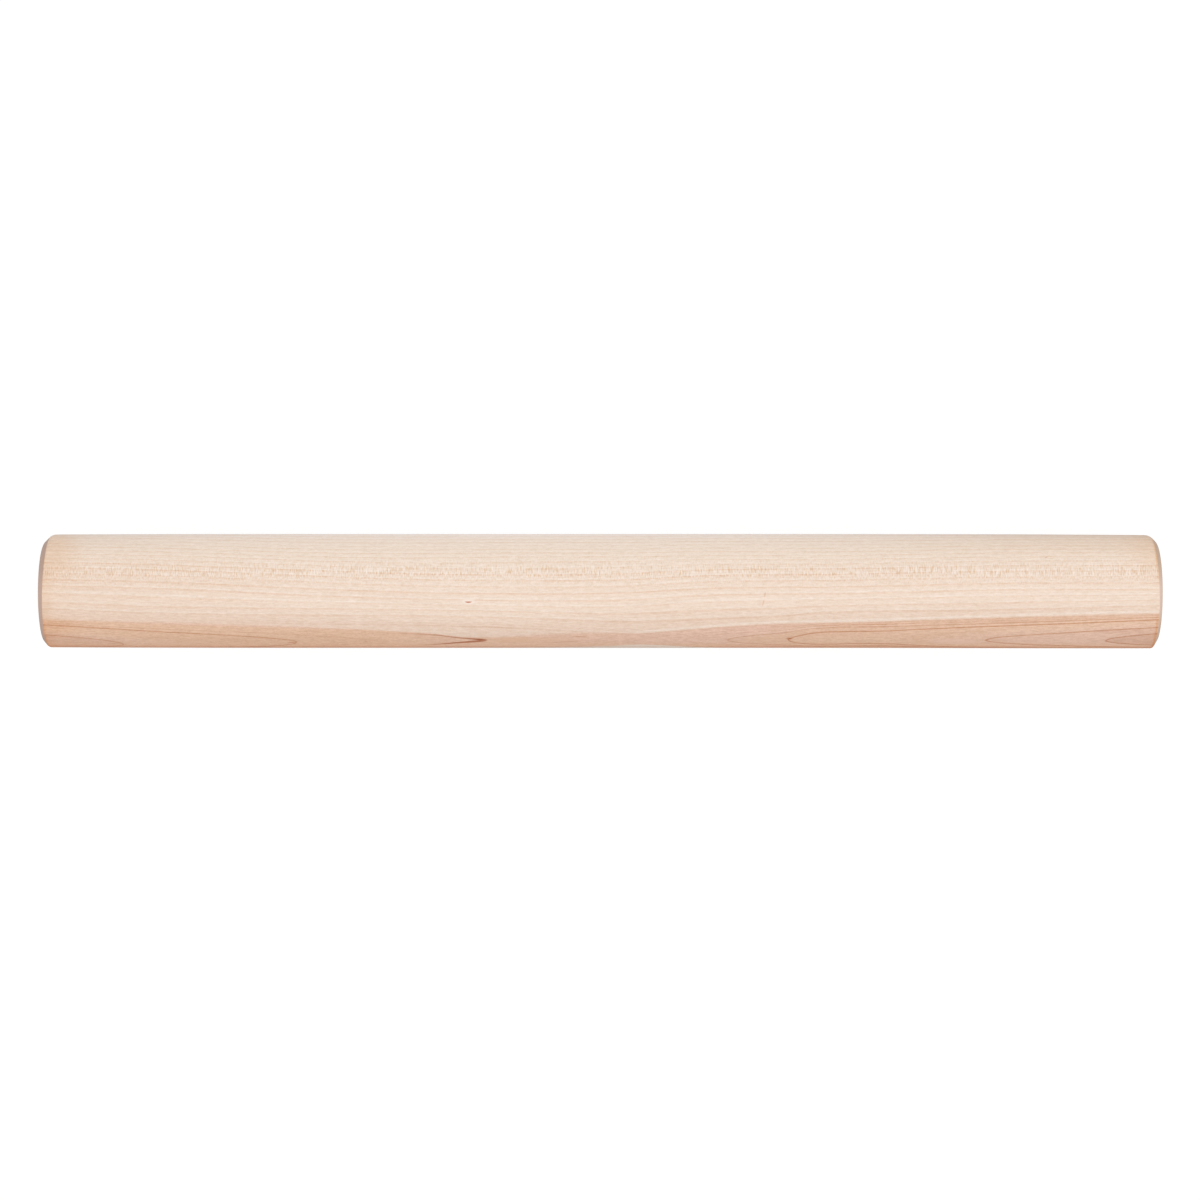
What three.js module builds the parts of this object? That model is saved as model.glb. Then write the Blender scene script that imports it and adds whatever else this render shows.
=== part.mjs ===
// A straight dowel rolling pin: one length of hard maple, turned round, sanded and eased at both ends.
// Millimetres, +Z up. The pin lies along X, and the origin is the middle of the line that it rests on.
import * as THREE from "three";

// Driving dimensions
const PIN_LENGTH = 495.3; // 19 1/2 in, over the two end faces
const PIN_DIAMETER = 50.8; // 2 in
const EASE_LENGTH = 4.5; // the eased edge, along the pin
const EASE_DEPTH = 4.5; // the eased edge, in from the barrel to the flat end face

// Fineness of the faceted surface
const BARREL_FLATS = 48; // even, so that one flat faces straight down
const EASE_STEPS = 8; // bands of each eased edge

const maple = new THREE.MeshStandardMaterial({
  color: 0xefdac8,
  roughness: 0.55,
  metalness: 0,
});

// The outline of one end, from the pin's axis to where the straight barrel starts.
// x is the distance from the axis, and y is the place along the pin.
function endOutline() {
  const radius = PIN_DIAMETER / 2;
  const endFace = -PIN_LENGTH / 2;
  const outline = new THREE.Path();
  outline.moveTo(0, endFace);
  outline.lineTo(radius - EASE_DEPTH, endFace);
  outline.quadraticCurveTo(radius, endFace, radius, endFace + EASE_LENGTH);
  return outline.getPoints(EASE_STEPS);
}

// The whole pin, turned about Y. The flats touch the true circle, and one faces +Z and one -Z.
function turnedPin() {
  const halfFlat = Math.PI / BARREL_FLATS;
  const cornerReach = 1 / Math.cos(halfFlat);
  const lower = endOutline().map(
    (point) => new THREE.Vector2(point.x * cornerReach, point.y),
  );
  const upper = lower
    .map((point) => new THREE.Vector2(point.x, -point.y))
    .reverse();
  return new THREE.LatheGeometry([...lower, ...upper], BARREL_FLATS, halfFlat);
}

const dowel = new THREE.Mesh(turnedPin(), maple);
dowel.name = "dowel";
dowel.rotation.z = -Math.PI / 2;
dowel.position.z = PIN_DIAMETER / 2;

const rollingPin = new THREE.Group();
rollingPin.add(dowel);

export default rollingPin;
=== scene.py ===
"""A straight dowel rolling pin of oiled hard maple, lying on a pale table and seen from straight above."""

import math
from collections import namedtuple

import bpy
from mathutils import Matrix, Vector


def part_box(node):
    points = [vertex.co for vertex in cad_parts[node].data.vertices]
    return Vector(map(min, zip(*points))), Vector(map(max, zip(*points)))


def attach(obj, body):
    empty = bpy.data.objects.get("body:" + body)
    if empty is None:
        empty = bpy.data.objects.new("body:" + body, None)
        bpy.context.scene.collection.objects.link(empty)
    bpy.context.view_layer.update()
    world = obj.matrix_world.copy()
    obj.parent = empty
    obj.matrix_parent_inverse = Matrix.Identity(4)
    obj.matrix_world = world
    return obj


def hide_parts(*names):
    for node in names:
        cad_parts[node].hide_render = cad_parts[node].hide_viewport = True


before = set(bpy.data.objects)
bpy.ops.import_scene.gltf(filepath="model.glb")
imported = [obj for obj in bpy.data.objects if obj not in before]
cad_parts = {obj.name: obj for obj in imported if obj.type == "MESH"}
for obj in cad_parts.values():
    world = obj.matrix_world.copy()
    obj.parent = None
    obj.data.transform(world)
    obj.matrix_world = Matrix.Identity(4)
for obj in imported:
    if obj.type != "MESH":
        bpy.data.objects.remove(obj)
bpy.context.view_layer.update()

MM = 0.001

# Sizes of the pin, from the frame
DOWEL_LOW, DOWEL_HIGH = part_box("dowel")
HALF_LENGTH = (DOWEL_HIGH[0] - DOWEL_LOW[0]) / 2
PIN_RADIUS = (DOWEL_HIGH[2] - DOWEL_LOW[2]) / 2
AXIS_HEIGHT = (DOWEL_HIGH[2] + DOWEL_LOW[2]) / 2

# The photograph's view: the picture's right is +X and its top is +Y
PHOTO_SIDE = 1200
BARREL_PIXELS = 113.87
PIN_CENTRE_PIXEL = (600.34, 590.9)
CAMERA_REACH = 1.70
CAMERA_FAR = 50
SENSOR_WIDTH = 36.0

# Sanding leaves each end a little slimmer: the loss on the radius and how far in it reaches
LEFT_LOSS = 0.27 * MM
LEFT_LOSS_REACH = 115 * MM
RIGHT_LOSS = 0.18 * MM
RIGHT_LOSS_REACH = 75 * MM

# The right end has warped a little, towards the bottom of the picture
WARP_START = 67 * MM
WARP = 0.38 * MM

# Hand-eased chamfers: each size is its mean, and its gains towards the picture's top and the camera
EasedEnd = namedtuple("EasedEnd", "length depth rim shoulder")
LEFT_END = EasedEnd(
    length=(3.0 * MM, 0.7 * MM, -0.7 * MM),
    depth=(3.2 * MM, 0.5 * MM, -0.6 * MM),
    rim=(0.8 * MM, 0.3 * MM, -0.5 * MM),
    shoulder=(1.35 * MM, 0.3 * MM, -1.1 * MM),
)
RIGHT_END = EasedEnd(
    length=(2.65 * MM, 0.65 * MM, -0.85 * MM),
    depth=(3.25 * MM, 0.05 * MM, -0.45 * MM),
    rim=(0.8 * MM, 0.5 * MM, -0.5 * MM),
    shoulder=(1.25 * MM, 0.6 * MM, -0.75 * MM),
)

# Fineness of the mesh
STEPS_AROUND = 240
CORNER_STEPS = 6
BARREL_STEPS = 56
FACE_RINGS = (0.985, 0.96, 0.75, 0.5, 0.25)

# The map of the surface: the side is one strip across the square, and the end faces are discs above it
MAP_EDGE = 0.006
SIDE_TOP = 0.80
FACE_MAP_RADIUS = 0.09
FACE_MAP_HEIGHT = 0.90
LEFT_FACE_MAP = 0.12
RIGHT_FACE_MAP = 0.34


# The turned dowel

def round_the_pin(spread, turn):
    """A hand-worked size at an angle, where 0 faces the camera and a quarter turn the picture's top."""
    mean, upward, nearward = spread
    return mean + upward * math.sin(turn) + nearward * math.cos(turn)


def barrel_radius(x):
    """The barrel's radius at a place along the pin."""
    def loss(distance, reach, most):
        return most * max(0.0, 1 - distance / reach) ** 2
    left = loss(x + HALF_LENGTH, LEFT_LOSS_REACH, LEFT_LOSS)
    right = loss(HALF_LENGTH - x, RIGHT_LOSS_REACH, RIGHT_LOSS)
    return PIN_RADIUS - left - right


def warp(x):
    """How far the pin's middle lies off its axis at a place along it."""
    share = max(0.0, (x - WARP_START) / (HALF_LENGTH - WARP_START))
    return -WARP * share ** 2


def pin_point(x, radius, turn):
    """A point of the pin, at a place along it, a distance from its middle and an angle round it."""
    return (x, radius * math.sin(turn) + warp(x), AXIS_HEIGHT + radius * math.cos(turn))


def rounded_corner(before, corner, after):
    """Points of a smooth curve from one point to another that bends round a corner between them."""
    points = []
    for step in range(CORNER_STEPS + 1):
        t = step / CORNER_STEPS
        pulls = list(zip(((1 - t) ** 2, 2 * t * (1 - t), t ** 2), (before, corner, after)))
        points.append(tuple(sum(pull * point[axis] for pull, point in pulls) for axis in (0, 1)))
    return points


def eased_edge(end, turn):
    """An end's edge from its face to the barrel, as points (in from the face, in from the barrel)."""
    length, depth, rim, shoulder = (round_the_pin(spread, turn) for spread in end)
    slant = math.hypot(length, depth)
    rim_share = rim / slant
    shoulder_share = shoulder / slant
    rim_curve = rounded_corner(
        (0, depth + rim), (0, depth), (length * rim_share, depth * (1 - rim_share)))
    shoulder_curve = rounded_corner(
        (length * (1 - shoulder_share), depth * shoulder_share), (length, 0), (length + shoulder, 0))
    return rim_curve + shoulder_curve


def pin_outline(turn):
    """The pin's outline at an angle, as (place along X, radius), from the left face to the right."""
    left = eased_edge(LEFT_END, turn)
    right = eased_edge(RIGHT_END, turn)
    left_start = -HALF_LENGTH + left[-1][0]
    right_start = HALF_LENGTH - right[-1][0]
    left_radius = barrel_radius(left_start)
    right_radius = barrel_radius(right_start)
    outline = [(-HALF_LENGTH + inward, left_radius - down) for inward, down in left]
    for step in range(1, BARREL_STEPS):
        share = (1 - math.cos(math.pi * step / BARREL_STEPS)) / 2
        x = left_start + (right_start - left_start) * share
        outline.append((x, barrel_radius(x)))
    outline += [(HALF_LENGTH - inward, right_radius - down) for inward, down in reversed(right)]
    return outline


def outline_shares(outline):
    """How far along an outline each of its points lies, from 0 to 1."""
    reach = [0.0]
    for (x0, r0), (x1, r1) in zip(outline, outline[1:]):
        reach.append(reach[-1] + math.hypot(x1 - x0, r1 - r0))
    return [value / reach[-1] for value in reach]


def side_place(share, step):
    """Where a point of the side lies on the map, by its share of the outline and its step round it."""
    across = MAP_EDGE + (1 - 2 * MAP_EDGE) * share
    upward = MAP_EDGE + (SIDE_TOP - 2 * MAP_EDGE) * step / STEPS_AROUND
    return (across, upward)


def face_place(point):
    """Where a point of an end face lies on the map."""
    x, y, z = point
    middle = RIGHT_FACE_MAP if x > 0 else LEFT_FACE_MAP
    scale = FACE_MAP_RADIUS / PIN_RADIUS
    return (middle + y * scale, FACE_MAP_HEIGHT + (z - AXIS_HEIGHT) * scale)


def turned_dowel():
    """The whole pin as one closed mesh, with a map of its surface for the export to bake on."""
    turns = [2 * math.pi * step / STEPS_AROUND for step in range(STEPS_AROUND)]
    side = list(zip(*(pin_outline(turn) for turn in turns)))
    shares = outline_shares([row[0] for row in side])
    left_face = [[(x, r * share) for x, r in side[0]] for share in reversed(FACE_RINGS)]
    right_face = [[(x, r * share) for x, r in side[-1]] for share in FACE_RINGS]
    rings = left_face + side + right_face
    first_side = len(left_face)
    last_side = first_side + len(side) - 1

    points = [pin_point(x, r, turn) for ring in rings for turn, (x, r) in zip(turns, ring)]
    left_middle = len(points)
    right_middle = left_middle + 1
    points += [pin_point(-HALF_LENGTH, 0, 0), pin_point(HALF_LENGTH, 0, 0)]

    faces = []
    places = []
    for ring in range(len(rings) - 1):
        for step in range(STEPS_AROUND):
            corners = ((ring, step), (ring, step + 1), (ring + 1, step + 1), (ring + 1, step))
            face = [row * STEPS_AROUND + s % STEPS_AROUND for row, s in corners]
            faces.append(face)
            if first_side <= ring < last_side:
                places += [side_place(shares[row - first_side], s) for row, s in corners]
            else:
                places += [face_place(points[corner]) for corner in face]
    last_ring = (len(rings) - 1) * STEPS_AROUND
    for step in range(STEPS_AROUND):
        after = (step + 1) % STEPS_AROUND
        for face in ([left_middle, after, step], [right_middle, last_ring + step, last_ring + after]):
            faces.append(face)
            places += [face_place(points[corner]) for corner in face]

    mesh = bpy.data.meshes.new("turned_dowel")
    mesh.from_pydata(points, [], faces)
    layer = mesh.uv_layers.new(name="OFBake")
    for loop, place in zip(layer.data, places):
        loop.uv = place
    mesh.shade_smooth()
    mesh.validate()
    dowel = bpy.data.objects.new("turned_dowel", mesh)
    bpy.context.collection.objects.link(dowel)
    return dowel


# Shader maths

# Two changes of a value: from nothing at the start to the full weight at the end, and a hump
Slope = namedtuple("Slope", "start end weight")
Hump = namedtuple("Hump", "middle reach weight")


def srgb(red, green, blue):
    """A colour as an eye-dropper reads it, 0 to 255, as the linear colour that a shader takes."""
    def linear(level):
        share = level / 255
        return share / 12.92 if share <= 0.04045 else ((share + 0.055) / 1.055) ** 2.4
    return (linear(red), linear(green), linear(blue), 1.0)


class Field:
    """A value that changes over a surface. Arithmetic on it adds Math nodes to its finish."""

    def __init__(self, finish, socket):
        self.finish = finish
        self.socket = socket

    def maths(self, operation, *others):
        return self.finish.node("ShaderNodeMath", {"operation": operation}, self, *others)

    def __add__(self, other):
        return self.maths("ADD", other)

    def __sub__(self, other):
        return self.maths("SUBTRACT", other)

    def __mul__(self, other):
        return self.maths("MULTIPLY", other)

    def __truediv__(self, other):
        return self.maths("DIVIDE", other)

    def __neg__(self):
        return self.maths("MULTIPLY", -1.0)

    def __rsub__(self, other):
        return -self + other

    __radd__ = __add__
    __rmul__ = __mul__

    def root(self):
        return self.maths("SQRT")

    def floor(self):
        return self.maths("FLOOR")

    def size(self):
        return self.maths("ABSOLUTE")

    def rise(self, start, end):
        """0 at the start, 1 at the end and a smooth step between. A start above the end makes it fall."""
        return self.finish.node(
            "ShaderNodeMapRange", {"interpolation_type": "SMOOTHSTEP", "clamp": True},
            Value=self, From_Min=start, From_Max=end, To_Min=0.0, To_Max=1.0)

    def bump(self, middle, reach):
        """1 at the middle, falling smoothly to 0 at a reach on either side."""
        return (self - middle).size().rise(reach, 0.0)

    def profile(self, *changes):
        """The sum of some slopes and humps along this value."""
        def change_along(change):
            if isinstance(change, Slope):
                return self.rise(change.start, change.end) * change.weight
            return self.bump(change.middle, change.reach) * change.weight
        return sum(change_along(change) for change in changes)

    def part(self, name):
        """Another output of the node that gives this value."""
        return Field(self.finish, self.socket.node.outputs[name])


class Finish:
    """The nodes of one material, or of the world, which are made one at a time."""

    def __init__(self, block):
        block.use_nodes = True
        self.tree = block.node_tree
        self.tree.nodes.clear()

    def node(self, kind, settings=None, *inputs, out=None, **sockets):
        """Adds a node, sets it, and gives it values or links by order and by socket name."""
        made = self.tree.nodes.new(kind)
        for name, value in (settings or {}).items():
            setattr(made, name, value)
        wanted = list(zip(made.inputs, inputs))
        for name, value in sockets.items():
            label = name.replace("_", " ")
            wanted.append((next(s for s in made.inputs if s.enabled and s.name == label), value))
        for socket, value in wanted:
            if isinstance(value, Field):
                self.tree.links.new(value.socket, socket)
            else:
                socket.default_value = value
        found = [s for s in made.outputs if s.enabled and out in (None, s.name)]
        return Field(self, found[0]) if found else made

    def axes(self, vector):
        """The three parts of a vector."""
        split = self.node("ShaderNodeSeparateXYZ", None, vector)
        return [split.part(axis) for axis in "XYZ"]

    def noise(self, x, y, z, detail=2.0, roughness=0.5):
        """Smooth noise about 0, mostly within half a unit of it."""
        place = self.node("ShaderNodeCombineXYZ", None, x, y, z)
        return self.node("ShaderNodeTexNoise", None, out="Fac", Vector=place, Scale=1.0,
                         Detail=detail, Roughness=roughness) * 2 - 1

    def mix(self, share, first, second, blend="MIX"):
        """Colours mixed by a share."""
        return self.node("ShaderNodeMix", {"data_type": "RGBA", "blend_type": blend},
                         Factor=share, A=first, B=second)

    def stain(self, share, colour, tint):
        """A colour with a share of a tint multiplied into it."""
        return self.mix(share, colour, tint, "MULTIPLY")


# The wood, with lengths in millimetres

# Colours of the sapwood
SAP_PALE = srgb(247, 228, 213)
SAP_WARM = srgb(239, 216, 198)
# Paler outer sapwood on the pin's upper side: partly the wood's own tone, partly a painted sheen
SAP_OUTER_AND_SHEEN = srgb(248, 233, 218)
EARLY_LINE = srgb(249, 236, 225)
LATE_TINT = srgb(248, 236, 225)
MAUVE_TINT = srgb(244, 237, 233)
RING_BROWN = srgb(240, 228, 220)

# Colours of the heartwood
HEART_PALE = srgb(233, 197, 170)
HEART_DEEP = srgb(224, 183, 154)
HEART_PINK = srgb(230, 194, 175)
# Painted light: lighter, warmer heartwood on the pin's lower side
HEART_LIT_BELOW = srgb(243, 200, 172)
# Painted shade: a darker, warmer line along the pin's bottom edge
LOW_EDGE_SHADE_TINT = srgb(254, 238, 228)
HEART_LINE_TINT = srgb(227, 200, 178)
STRAND_TINT = srgb(205, 160, 133)

# Colours of the fibres, rays and marks
FIBRE_TINT = srgb(238, 233, 227)
RAY_TINT = srgb(241, 227, 204)
RAY_PALE = srgb(250, 238, 228)
KNOT_TINT = srgb(205, 142, 118)
SCAR_TINT = srgb(240, 220, 203)

# Colours of the ends
# A darker, warmer wash towards the ends; where it is heavier at the left end and on the upper and lower
# sides it is painted shade
END_WASH_TINT = srgb(249, 239, 229)
BURNISH_TINT = srgb(249, 226, 196)
END_TINT = srgb(211, 202, 207)
# Chamfer colours: the left one is darker than the right, which is painted shade
SHADED_LEFT_RIM = srgb(198, 170, 156)
RIGHT_RIM = srgb(224, 197, 179)
# Painted shade on the chamfers
RIM_SHADE_TINT = srgb(234, 231, 224)

# The pith lies outside the pin, below the picture, and comes nearest to it at a blunt V near the middle
PITH_TURN = math.radians(-59)
PITH_REACH = 178.0
PITH_MIDDLE = 15.0
PITH_SLOPE = 0.0275
PITH_BLUNT = 6.0
PITH_CURL = 2.4e-5
V_ENDS = (PITH_MIDDLE - 10, PITH_MIDDLE + 10)

# Bends of the rings along the pin: in the heartwood, in the sapwood and furthest out
STRAND_DIP = Hump(-64, 14, -0.12)
HEART_BENDS = (
    Slope(-190, -250, 0.54), STRAND_DIP,
    Slope(76, 98, 0.47), Slope(95, 130, -0.45), Slope(200, 260, 0.45),
)
SAP_BENDS = (Hump(-80, 150, -2.4), Hump(45, 70, 0.9), Slope(170, 255, -1.0))
SAP_BEND_RINGS = (154, 163)
OUTER_BEND = Hump(-25, 120, 2.2)
OUTER_BEND_RINGS = (172, 182)

# Rings that lean: by how much along the pin, and the line that they lean about
LEFT_LEAN = Slope(-40, -260, 0.25)
LEFT_HINGE = 12.9
LEFT_HINGE_SLOPE = 0.0906
RIGHT_LEAN = Hump(122, 48, -0.07)
RIGHT_HINGE_SLOPE = 0.05

# Ripples in the rings: length, breadth, depth in the heartwood and what the sapwood adds to it
RIPPLE_LENGTH = 16.0
RIPPLE_BREADTH = 5.0
HEART_RIPPLE = 0.05
SAP_RIPPLE = Slope(154, 158, 0.13)

# How the surface cuts the rings: a gain because the pith is near, the least cut, and where end grain shows
CUT_GAIN = 1.1
LEAST_CUT = 0.045
END_GRAIN_LEAN = (0.5, 0.7)

# The regular rings of the sapwood, and where in each year its dark and pale lines lie
SAP_START = (154.3, 155.0)
SAP_FIRST_RING = 155.9
SAP_RING_WIDTH = 2.4
SAP_SLOW_YEARS = Hump(175.0, 16.0, 1.4)
YEAR_FADE_LENGTH = 16.0
YEAR_APART = 3.7
LATE_SEASON = (0.90, 0.26)
EARLY_SEASON = (0.17, 0.24)
LATE_WEIGHT = 0.62
LATE_CHANGES = (Slope(161, 169, 0.43), Hump(177, 5.5, -0.45))
# How far out the sapwood turns paler: partly the wood's own tone, partly a painted sheen on the upper side
SAP_OUTWARD_AND_SHEEN = Slope(164, 188, 0.7)

# The two lines between heartwood and sapwood: distance from the pith, reach and weight
FIRST_LINES = ((152.9, 0.8, 1.0), (153.5, 0.7, 0.5))
FIRST_LINES_EXTENT = (-60, 150)

# Sizes in the texture: along the pin, round the pith and out from it, or along the pin and across
BAND_SIZE = (60.0, 22.0, 0.6)
CLOUD_SIZE = (60.0, 9.0, 9.0)
FIBRE_SIZE = (3.4, 0.55)
PORE_SIZE = (1.1, 0.8)

# The outer edge of the heartwood, and how far out it lies below the face that is seen
HEART_EDGE_RING = 151.05
HEART_EDGE_CHANGES = (Slope(-62, 12, 2.1), Hump(72, 55, 0.45), STRAND_DIP)
LOW_REACH = 4.0
LOW_WAIST = Hump(22, 85, -4.15)
BELOW = (-1.02, -1.3)
EDGE_SOFTNESS = 0.35
EDGE_SOFTENING = (Hump(-25, 45, 1.2), Slope(-90, -160, 0.6), Slope(190, 240, 0.6))
RIGHTWARD = (180, 235)

# The cast beside the heartwood, and the pale fringe along its right part
MAUVE_BREADTH = 7.5
MAUVE_NARROWING = 3.0
PALE_FRINGE = Hump(-1.1, 0.9, 0.5)

# Pinker and browner wood within the heartwood, by its rings and along the pin
INNER_PINK_RINGS = (149.4, 146.9)
INNER_PINK_TILT = 0.006
INNERMOST_RINGS = (146.95, 146.65)
INNERMOST_TILT = 0.0042
OUTER_PINK_RINGS = (151.3, 151.8)
OUTER_PINK_WEIGHT = 0.75
OUTER_PINK_FADE = Slope(70, 110, -0.65)
STRAND_PINK = Hump(-62, 40, 0.6)
# Painted shade along the bottom edge: the angle round the pin where it starts and is full, and the middle
# stretch that is left out
LOW_EDGE = (-1.24, -1.36)
LOW_EDGE_GAP = (0, 75)

# Lines in the heartwood: distance from the pith, and weight to the left and to the right of the V
HEART_LINES = (
    (145.83, 0.9, 0.0), (147.72, 0.0, 1.3), (149.16, 1.1, 0.0), (148.93, 0.0, 1.4), (150.0, 0.3, 0.15),
    (150.9, 0.0, 1.9), (151.65, 0.0, 0.8), (152.15, 0.0, 0.35), (152.6, 0.0, 0.2),
)
HEART_LINE_REACH = 0.5
EDGE_LINE = Hump(0.4, 0.6, 0.25)
SECOND_EDGE_LINE = Hump(1.5, 0.6, 0.5)
SECOND_EDGE_EXTENT = (115, 85)

# Two dark strands along one ring, which meet where the left part of the heartwood ends
STRAND_RING = 151.04
STRAND_REACH = 0.8
LOWER_STRAND_GAIN = 0.25
UPPER_STRAND = Hump(-58, 48, 0.9)
LOWER_STRAND = Hump(-56, 30, 1.7)
LOWER_STRAND_SIDE = (-0.97, -1.02)

# Rays, the thin sheets that run out from the pith, and where the surface runs with them
RAY_HEIGHT = 0.34
RAY_THICKNESS = 0.25
RAY_BREADTH = 2.4
RAY_EDGE = (0.1, 0.5)
RAY_GROUP_LENGTH = 9.0
RAY_GROUP_BREADTH = 5.0
RAY_BAND = (5.1, 4.2)
WIDE_RAY_BAND = Hump(4.8, 10, 0.36)
RAY_LEAST = 0.14

# Single marks on the face that is seen, each a lens: angles in degrees, half sizes, weight and colour
Mark = namedtuple("Mark", "along turn half_length half_width weight colour blend lean curl",
                  defaults=("MULTIPLY", 0.0, 0.0))
LENS_EDGE = (1.0, 0.35)
MARKS = (
    # A pin knot in its pale halo
    Mark(-58.2, -10.6, 4.0, 3.4, 0.6, EARLY_LINE, "MIX"),
    Mark(-58.0, -11.4, 2.1, 1.1, 1.0, KNOT_TINT, curl=0.7),
    # A scratch in two strokes
    Mark(72.3, -4.0, 0.45, 4.0, 0.7, SCAR_TINT, lean=5.2),
    Mark(71.6, -12.2, 0.45, 4.6, 0.7, SCAR_TINT, lean=5.2),
    # Three ring tips that end in a dark spot
    Mark(83.6, -56.3, 2.0, 2.6, 1.0, HEART_LINE_TINT),
    Mark(-137.0, -64.0, 2.2, 2.4, 0.7, HEART_LINE_TINT),
    Mark(-53.4, -58.6, 4.0, 1.8, 0.7, STRAND_TINT),
    # Patches of pinker, browner and deeper heartwood
    Mark(156.0, -62.0, 15.0, 8.0, 0.5, HEART_PINK, "MIX"),
    Mark(232.0, -44.5, 22.0, 5.5, 0.55, RING_BROWN),
    Mark(-30.0, -60.0, 28.0, 8.0, 0.45, HEART_DEEP, "MIX"),
    # Two faint strokes where the heartwood is narrow
    Mark(-15.6, -62.6, 1.8, 4.0, 0.8, HEART_LINE_TINT, lean=180.0),
    Mark(-9.0, -52.8, 5.0, 1.3, 0.5, HEART_LINE_TINT),
    # A pore
    Mark(196.4, 35.4, 1.0, 0.7, 0.5, KNOT_TINT),
)

# Heights on the pin as the picture shows it, from its axis
UPPER_SIDE = (0, 14)
TOP_EDGE = (11, 22)
LOWER_SIDE = (-9, -16)
BOTTOM_EDGE = (-22.5, -16.5)

# Darkening and burnish, in from the end, the darkening partly painted shade: where each wash starts and is
# full, and the burnished line
EDGE_WASH = (9, 1.5)
END_WASH = (24, 4)
BROAD_WASH = (140, 15)
BURNISHED_LINE = (2.3, 1.0)

# End grain: the rays across it, and the distance from the axis at which the chamfers start
END_RAY_THICKNESS = 0.3
END_RAY_BREADTH = 7.0
CHAMFER_START = (20.5, 21.5)

# The feel of the surface
SANDED_ROUGHNESS = 0.36
RELIEF_STRENGTH = 0.1
RELIEF_DEPTH = 0.2 * MM

# What the finish works out about each spot before it is coloured
Spot = namedtuple("Spot", "along up near turn end_grain left right upper lower")
Rings = namedtuple("Rings", "toward radius bearing ripple grown cut heart_cut")
Years = namedtuple("Years", "fade late early")
Texture = namedtuple("Texture", "band cloud fibre pores")
Heart = namedtuple("Heart", "share past_edge below right_side rightward mauve")


def spot_on_pin(wood):
    """Where a spot lies: along the pin, up the picture, near the camera and round the pin."""
    place = wood.node("ShaderNodeTexCoord", None, out="Object")
    along, up, height = (axis * (1 / MM) for axis in wood.axes(place))
    near = height - AXIS_HEIGHT / MM
    endward = wood.axes(place.part("Normal"))[0].size()
    right = along.rise(-1, 1)
    return Spot(
        along, up, near, turn=up.maths("ARCTAN2", near), end_grain=endward.rise(*END_GRAIN_LEAN),
        left=1 - right, right=right, upper=up.rise(*UPPER_SIDE), lower=up.rise(*LOWER_SIDE))


def bent_rings(along, radius, leaning):
    """How far the rings bend out of their true place, in the heartwood and further out."""
    sapward = radius.rise(*SAP_BEND_RINGS)
    heart_bend = along.profile(*HEART_BENDS) - leaning
    sap_bend = along.profile(*SAP_BENDS)
    outer_bend = along.profile(OUTER_BEND) * radius.rise(*OUTER_BEND_RINGS)
    return heart_bend * (1 - sapward) + sap_bend * sapward + outer_bend


def ring_cut(slope, end_grain):
    """How steeply the rings cut the surface, so that a line along one is equally thick all the way."""
    barrel_cut = (slope * slope + LEAST_CUT ** 2).root()
    return barrel_cut + end_grain * (1 - barrel_cut)


def growth_rings(wood, spot):
    """The tree's rings about its pith, with bends, leans and ripples, and how the surface cuts them."""
    along, up, near = spot.along, spot.up, spot.near
    run = along - PITH_MIDDLE
    from_middle = (run * run + PITH_BLUNT ** 2).root() - PITH_BLUNT
    pith_reach = PITH_REACH - from_middle * PITH_SLOPE + run * run * PITH_CURL
    toward = up * math.sin(PITH_TURN) + near * math.cos(PITH_TURN)
    sideways = up * math.cos(PITH_TURN) - near * math.sin(PITH_TURN)
    inward = pith_reach - toward
    radius = (inward * inward + sideways * sideways).root()
    bearing = sideways.maths("ARCTAN2", inward) * PITH_REACH

    ripple = wood.noise(along / RIPPLE_LENGTH, bearing / RIPPLE_BREADTH, radius / RIPPLE_BREADTH)
    ripple = ripple * (HEART_RIPPLE + radius.profile(SAP_RIPPLE))
    left_lean = along.profile(LEFT_LEAN)
    right_lean = along.profile(RIGHT_LEAN)
    leaning = left_lean * (sideways + along * LEFT_HINGE_SLOPE + LEFT_HINGE)
    leaning = leaning + right_lean * (sideways - along * RIGHT_HINGE_SLOPE)
    grown = radius - bent_rings(along, radius, leaning) + ripple

    slope = sideways * (MM / PIN_RADIUS * CUT_GAIN)
    cut = ring_cut(slope, spot.end_grain)
    heart_cut = ring_cut(slope + left_lean + right_lean, spot.end_grain)
    return Rings(toward, radius, bearing, ripple, grown, cut, heart_cut)


def yearly_lines(wood, spot, rings):
    """The sapwood's lines: each ring ends in a thin dark line, and the next starts with a pale one."""
    years = (rings.grown - SAP_FIRST_RING - rings.grown.profile(SAP_SLOW_YEARS)) / SAP_RING_WIDTH
    year = years.floor()
    season = years - year
    strength = wood.node("ShaderNodeTexWhiteNoise", {"noise_dimensions": "1D"}, out="Value", W=year)
    fade = wood.noise(spot.along / YEAR_FADE_LENGTH, year * YEAR_APART, 0.0) * 1.2 + 0.85
    vigour = (strength * 0.5 + 0.5) * fade * rings.grown.rise(*SAP_START)
    return Years(fade, late=season.bump(*LATE_SEASON) * vigour, early=season.bump(*EARLY_SEASON) * vigour)


def fine_texture(wood, spot, rings):
    """Fine bands between the rings, slow changes of tone, and fibres and pores along the pin."""
    def figure(size, detail=2.0, roughness=0.5):
        length, breadth, depth = size
        return wood.noise(
            spot.along / length, rings.bearing / breadth, rings.grown / depth, detail, roughness)

    def streaks(size, detail):
        length, width = size
        return wood.noise(spot.along / length, spot.up / width, spot.near / width, detail)
    return Texture(
        band=figure(BAND_SIZE, detail=3.0, roughness=0.6), cloud=figure(CLOUD_SIZE),
        fibre=streaks(FIBRE_SIZE, detail=1.5), pores=streaks(PORE_SIZE, detail=1.0))


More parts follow.
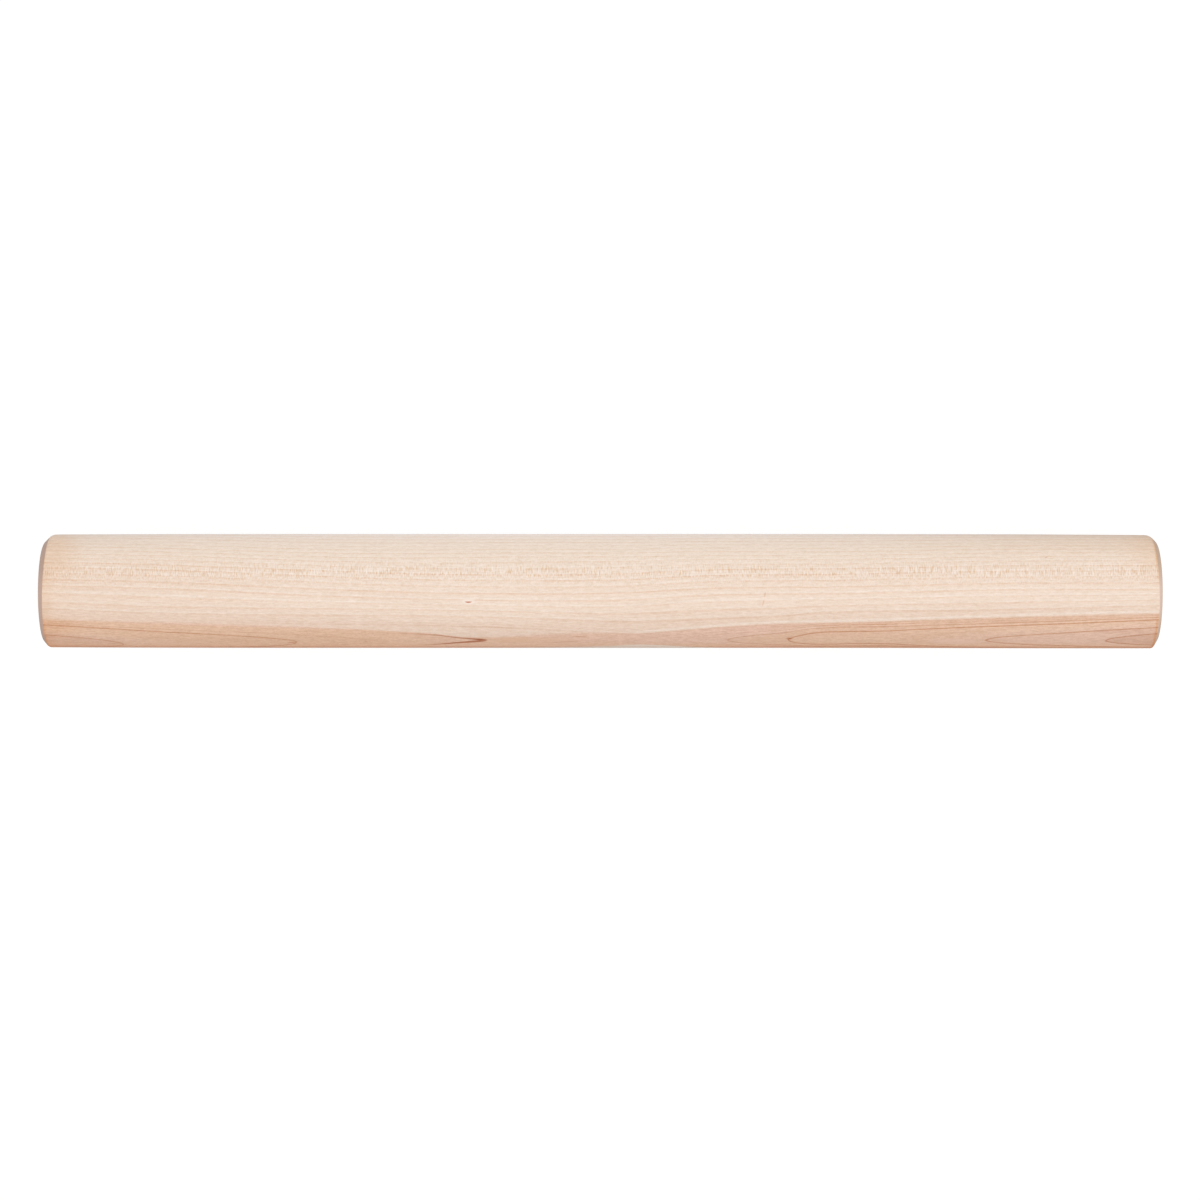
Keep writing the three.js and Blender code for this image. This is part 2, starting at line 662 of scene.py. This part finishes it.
def heart_reach(spot, rings, texture):
    """The heartwood's share. It reaches further out on the right, and below, except in the middle."""
    along = spot.along
    below = spot.turn.rise(*BELOW)
    low_reach = below * (LOW_REACH + along.profile(LOW_WAIST))
    edge = along.profile(*HEART_EDGE_CHANGES) + low_reach + HEART_EDGE_RING
    depth = edge - rings.radius - rings.ripple
    past_edge = depth / rings.cut
    softness = along.profile(*EDGE_SOFTENING) + EDGE_SOFTNESS
    share = (past_edge / softness).rise(-1.0, 1.0) * (1 - spot.end_grain * 0.4)

    # A mauve cast in the sapwood beside it
    rightward = along.rise(*RIGHTWARD)
    mauve = (depth / (MAUVE_BREADTH - rightward * MAUVE_NARROWING)).rise(-1.0, 0.04)
    mauve = mauve * (0.75 + texture.band * 0.7) * (1 - below * 0.8)
    return Heart(share, past_edge, below, along.rise(*V_ENDS), rightward, mauve)


def sapwood(wood, spot, rings, years, texture, heart):
    """The sapwood's colour, which is paler further out, partly as a painted sheen on the upper side, and
    has a few brown lines beside the heartwood.
    """
    colour = wood.mix(texture.band * 0.6 + texture.cloud * 0.4 + 0.5, SAP_WARM, SAP_PALE)
    # Paler further out, on the upper side: partly the wood's own tone, partly a painted sheen
    colour = wood.mix(rings.grown.profile(SAP_OUTWARD_AND_SHEEN), colour, SAP_OUTER_AND_SHEEN)
    colour = wood.mix(years.early * 0.6, colour, EARLY_LINE)
    late = years.late * (rings.grown.profile(*LATE_CHANGES) + LATE_WEIGHT)
    colour = wood.stain(late, colour, LATE_TINT)
    colour = wood.stain(heart.mauve, colour, MAUVE_TINT)
    first_lines = 0
    for ring, reach, weight in FIRST_LINES:
        first_lines = first_lines + ((rings.grown - ring) / rings.cut).bump(0.0, reach) * weight
    first_lines = first_lines * years.fade * spot.along.bump(*FIRST_LINES_EXTENT)
    colour = wood.stain(first_lines + years.late * heart.mauve * 0.8, colour, RING_BROWN)
    return wood.mix(heart.past_edge.profile(PALE_FRINGE) * heart.right_side, colour, EARLY_LINE)


def heartwood(wood, spot, rings, texture, heart):
    """The heartwood's colour, which is pinker in places and brownest inside, with painted light that makes
    it lighter and warmer below, and painted shade along the bottom edge.
    """
    along, grown = spot.along, rings.grown
    tone = texture.band * 0.8 + texture.cloud * 0.4 + heart.rightward * 0.6 + 0.5
    colour = wood.mix(tone, HEART_DEEP, HEART_PALE)
    inner_pink = (grown - along * INNER_PINK_TILT).rise(*INNER_PINK_RINGS)
    outer_pink = grown.rise(*OUTER_PINK_RINGS) * (along.profile(OUTER_PINK_FADE) + OUTER_PINK_WEIGHT)
    pink = outer_pink + along.profile(STRAND_PINK) + inner_pink * 0.7 + heart.right_side * 0.25
    colour = wood.mix(pink * 0.85, colour, HEART_PINK)
    # Painted light: lighter and warmer on the lower side
    colour = wood.mix(heart.below * 0.7, colour, HEART_LIT_BELOW)
    innermost = (grown - along * INNERMOST_TILT).rise(*INNERMOST_RINGS)
    colour = wood.stain(innermost * (heart.right_side * 0.35 + 0.35), colour, RING_BROWN)
    # Painted shade along the bottom edge, left out in the middle
    low_edge_shade = spot.turn.rise(*LOW_EDGE) * (1 - along.bump(*LOW_EDGE_GAP))
    return wood.stain(low_edge_shade, colour, LOW_EDGE_SHADE_TINT)


def heart_lines(wood, colour, spot, rings, years, heart):
    """The thin dark lines in the heartwood, along its edge and along its rings."""
    lines = heart.past_edge.profile(EDGE_LINE) * heart.right_side
    second_line = heart.past_edge.profile(SECOND_EDGE_LINE) * spot.along.bump(*SECOND_EDGE_EXTENT)
    lines = lines + second_line * years.fade
    line_reach = HEART_LINE_REACH + heart.below * 0.2
    for ring, left_weight, right_weight in HEART_LINES:
        weight = heart.right_side * (right_weight - left_weight) + left_weight
        lines = lines + ((rings.grown - ring) / rings.heart_cut).bump(0.0, line_reach) * weight
    lines = lines * heart.share * (years.fade * 0.5 + 0.5)
    lines = lines * (1 + heart.below * 0.3) * (1 - spot.end_grain * 0.7)
    return wood.stain(lines, colour, HEART_LINE_TINT)


def dark_strands(wood, colour, spot, rings):
    """Two dark strands, the lower one shorter and thicker."""
    lower_strand = spot.turn.rise(*LOWER_STRAND_SIDE)
    weight = spot.along.profile(UPPER_STRAND) * (1 - lower_strand)
    weight = weight + spot.along.profile(LOWER_STRAND) * lower_strand
    reach = lower_strand * LOWER_STRAND_GAIN + STRAND_REACH
    strands = ((rings.grown - STRAND_RING) / rings.cut).bump(0.0, reach) * weight
    return wood.stain(strands, colour, STRAND_TINT)


def fibres(wood, colour, texture, heart):
    """Fibres and pores, which show most in the heartwood and beside it."""
    fibre = texture.fibre * (heart.share * 0.5 + heart.mauve * 0.35 + 0.8)
    pores = texture.pores * (heart.share * 0.35 + 0.45)
    return wood.stain(fibre + pores + 0.5, colour, FIBRE_TINT)


def ray_flecks(wood, colour, spot, rings):
    """Rays, which show as upright flecks where the surface runs with them."""
    along, radius = spot.along, rings.radius
    ray = wood.noise(
        along / RAY_HEIGHT, rings.bearing / RAY_THICKNESS, radius / RAY_BREADTH, detail=0.0)
    group = wood.noise(along / RAY_GROUP_LENGTH, radius / RAY_GROUP_BREADTH, 0.0).rise(-0.5, 0.3)
    shown = rings.toward.bump(*RAY_BAND) * (0.15 + group * 0.4)
    shown = shown + rings.toward.profile(WIDE_RAY_BAND) + RAY_LEAST
    shown = shown * (1 - spot.end_grain)
    colour = wood.stain(ray.rise(*RAY_EDGE) * shown, colour, RAY_TINT)
    return wood.mix((-ray).rise(*RAY_EDGE) * shown * 0.7, colour, RAY_PALE)


def marked(wood, colour, spot):
    """The single marks, each a lens that may lean along the pin or curl."""
    for mark in MARKS:
        from_middle = spot.turn - math.radians(mark.turn)
        lengthways = (spot.along - mark.along - from_middle * mark.lean) / mark.half_length
        across = from_middle / math.radians(mark.half_width) - lengthways * lengthways * mark.curl
        lens = (across * across + lengthways * lengthways).root().rise(*LENS_EDGE)
        colour = wood.mix(lens * mark.weight, colour, mark.colour, mark.blend)
    return colour


def end_wash_and_shade(wood, colour, spot):
    """Darker and warmer towards the ends, heavier at the left end and on the upper and lower sides as
    painted shade, and the burnished edges.
    """
    left, right, upper, lower = spot.left, spot.right, spot.upper, spot.lower
    from_end = HALF_LENGTH / MM - spot.along.size()
    # Painted shade: the wash is heavier at the left end, on the upper and lower sides, and along the top
    # edge at the right
    edge_wash = left * 0.6 + right * 0.15
    lower_wash = lower * spot.up.rise(*BOTTOM_EDGE) * 0.8
    end_wash = left * (upper * 0.8 + lower_wash + 0.22) + upper * right * 0.45
    broad_wash = left * 0.1 + right * spot.up.rise(*TOP_EDGE) * 0.45
    wash = from_end.rise(*EDGE_WASH) * edge_wash + from_end.rise(*END_WASH) * end_wash
    wash = wash + from_end.rise(*BROAD_WASH) * broad_wash
    colour = wood.stain(wash, colour, END_WASH_TINT)
    burnished = from_end.bump(*BURNISHED_LINE) * (lower + upper) * (right * 0.4 + 0.6)
    return wood.stain(burnished, colour, BURNISH_TINT)


def bare_ends(wood, colour, spot, rings):
    """End grain, darker and greyer with the rays as fine lines across it, and the plainer chamfers, with
    painted shade that darkens the left end and each chamfer by its side.
    """
    left, right, upper, lower = spot.left, spot.right, spot.upper, spot.lower
    ray_lines = wood.noise(rings.bearing / END_RAY_THICKNESS, rings.radius / END_RAY_BREADTH, 0.0) * 0.35
    # End grain darker and greyer; the extra at the left end is painted shade
    colour = wood.stain(spot.end_grain * (left * 0.2 + ray_lines + 0.5), colour, END_TINT)
    off_axis = (spot.up * spot.up + spot.near * spot.near).root()
    chamfer = spot.end_grain * off_axis.rise(*CHAMFER_START)
    # The chamfers' colour, darker at the left end as painted shade
    colour = wood.mix(chamfer * 0.85, colour, wood.mix(right, SHADED_LEFT_RIM, RIGHT_RIM))
    # Painted shade on the chamfers, by end and by side
    darker = (right * 0.45 + 0.55) * (upper + lower * right * 0.5)
    return wood.stain(chamfer * darker, colour, RIM_SHADE_TINT)


def oiled_maple():
    """Hard maple, mostly pale sapwood with a strip of heartwood, sanded and oiled."""
    maple = bpy.data.materials.new("oiled_maple")
    wood = Finish(maple)
    spot = spot_on_pin(wood)
    rings = growth_rings(wood, spot)
    years = yearly_lines(wood, spot, rings)
    texture = fine_texture(wood, spot, rings)
    heart = heart_reach(spot, rings, texture)

    outer = sapwood(wood, spot, rings, years, texture, heart)
    core = heartwood(wood, spot, rings, texture, heart)
    colour = wood.mix(heart.share, outer, core)
    colour = heart_lines(wood, colour, spot, rings, years, heart)
    colour = dark_strands(wood, colour, spot, rings)
    colour = fibres(wood, colour, texture, heart)
    colour = ray_flecks(wood, colour, spot, rings)
    colour = marked(wood, colour, spot)
    colour = end_wash_and_shade(wood, colour, spot)
    colour = bare_ends(wood, colour, spot, rings)

    roughness = SANDED_ROUGHNESS + texture.fibre * 0.06 + spot.end_grain * 0.1
    relief = texture.fibre * 0.5 + texture.band * 0.3 - years.late * 0.4
    bump = wood.node(
        "ShaderNodeBump", None, Strength=RELIEF_STRENGTH, Distance=RELIEF_DEPTH, Height=relief)
    shader = wood.node(
        "ShaderNodeBsdfPrincipled", None, Base_Color=colour, Roughness=roughness, Normal=bump)
    wood.node("ShaderNodeOutputMaterial", None, Surface=shader)
    return maple


# The stage

WHITE = (1.0, 1.0, 1.0, 1.0)
BLACK = (0.0, 0.0, 0.0, 1.0)

# The table: its paper, its share of plain white and what the pin mirrors of it, in metres from the pin
FLOOR_SIDE = 12.0
FLOOR_GREY = (0.9, 0.9, 0.9, 1.0)
WHITE_SHARE = 0.8
WHITE_LEVEL = 1.08
SHEEN = (0.78, 0.84, 0.95, 1.0)
SHEEN_START = (-0.02, 0.03)
SHEEN_EXTENT = (-0.04, 0.42)

# The light
ROOM_LIGHT = (0.92, 0.92, 0.92, 1.0)
PANEL_PLACE = (0.8, -0.35, 2.2)
PANEL_SIDE = 3.0
PANEL_POWER = 11.0


def pale_paper():
    """Paper that shows the camera a clean white and keeps a little of the shadow.

    In the pin's own reflections it is bright towards the picture's top, and dark on the other side."""
    material = bpy.data.materials.new("pale_paper")
    paper = Finish(material)
    camera_ray = paper.node("ShaderNodeLightPath", None, out="Is Camera Ray")
    mirrored = camera_ray.part("Is Glossy Ray").maths("MAXIMUM", camera_ray.part("Is Transmission Ray"))
    across, up, _ = paper.axes(paper.node("ShaderNodeTexCoord", None, out="Object"))
    bright_side = up.rise(*SHEEN_START) * across.bump(*SHEEN_EXTENT)
    glow = paper.mix(camera_ray, paper.mix(bright_side, BLACK, SHEEN), WHITE)
    lit = paper.node("ShaderNodeBsdfDiffuse", None, Color=FLOOR_GREY)
    shining = paper.node("ShaderNodeEmission", None, Color=glow, Strength=WHITE_LEVEL)
    shader = paper.node("ShaderNodeMixShader", None, camera_ray * WHITE_SHARE + mirrored, lit, shining)
    paper.node("ShaderNodeOutputMaterial", None, Surface=shader)
    return material


def table():
    """The pale table that the pin lies on."""
    half = FLOOR_SIDE / 2
    corners = [(-half, -half, 0), (half, -half, 0), (half, half, 0), (-half, half, 0)]
    mesh = bpy.data.meshes.new("table")
    mesh.from_pydata(corners, [], [(0, 1, 2, 3)])
    mesh.materials.append(pale_paper())
    made = bpy.data.objects.new("table", mesh)
    bpy.context.collection.objects.link(made)


def studio_light():
    """A white room, with a soft panel overhead to the right, aimed at the pin."""
    world = bpy.data.worlds.new("white_room")
    room = Finish(world)
    camera_ray = room.node("ShaderNodeLightPath", None, out="Is Camera Ray")
    walls = room.mix(camera_ray, ROOM_LIGHT, WHITE)
    background = room.node("ShaderNodeBackground", None, Color=walls, Strength=1.0)
    room.node("ShaderNodeOutputWorld", None, Surface=background)
    bpy.context.scene.world = world
    lamp = bpy.data.lights.new("soft_panel", "AREA")
    lamp.shape = "SQUARE"
    lamp.size = PANEL_SIDE
    lamp.energy = PANEL_POWER
    panel = bpy.data.objects.new("soft_panel", lamp)
    panel.location = PANEL_PLACE
    x, y, z = PANEL_PLACE
    panel.rotation_euler = (-math.atan2(y, z), math.atan2(x, math.hypot(y, z)), 0)
    bpy.context.collection.objects.link(panel)


def photo_camera():
    """Straight above the pin, framed as in the photograph."""
    metres_per_pixel = 2 * PIN_RADIUS / BARREL_PIXELS
    lens = bpy.data.cameras.new("camera")
    lens.sensor_width = SENSOR_WIDTH
    lens.lens = SENSOR_WIDTH * CAMERA_REACH / (PHOTO_SIDE * metres_per_pixel)
    lens.clip_end = CAMERA_FAR
    camera = bpy.data.objects.new("camera", lens)
    right = (PHOTO_SIDE / 2 - PIN_CENTRE_PIXEL[0]) * metres_per_pixel
    upward = (PIN_CENTRE_PIXEL[1] - PHOTO_SIDE / 2) * metres_per_pixel
    camera.location = (right, upward, AXIS_HEIGHT + CAMERA_REACH)
    bpy.context.collection.objects.link(camera)
    bpy.context.scene.camera = camera


photo_camera()
dowel = turned_dowel()
dowel.data.materials.append(oiled_maple())
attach(dowel, "root")
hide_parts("dowel")
table()
studio_light()
bpy.context.scene.view_settings.view_transform = "Standard"
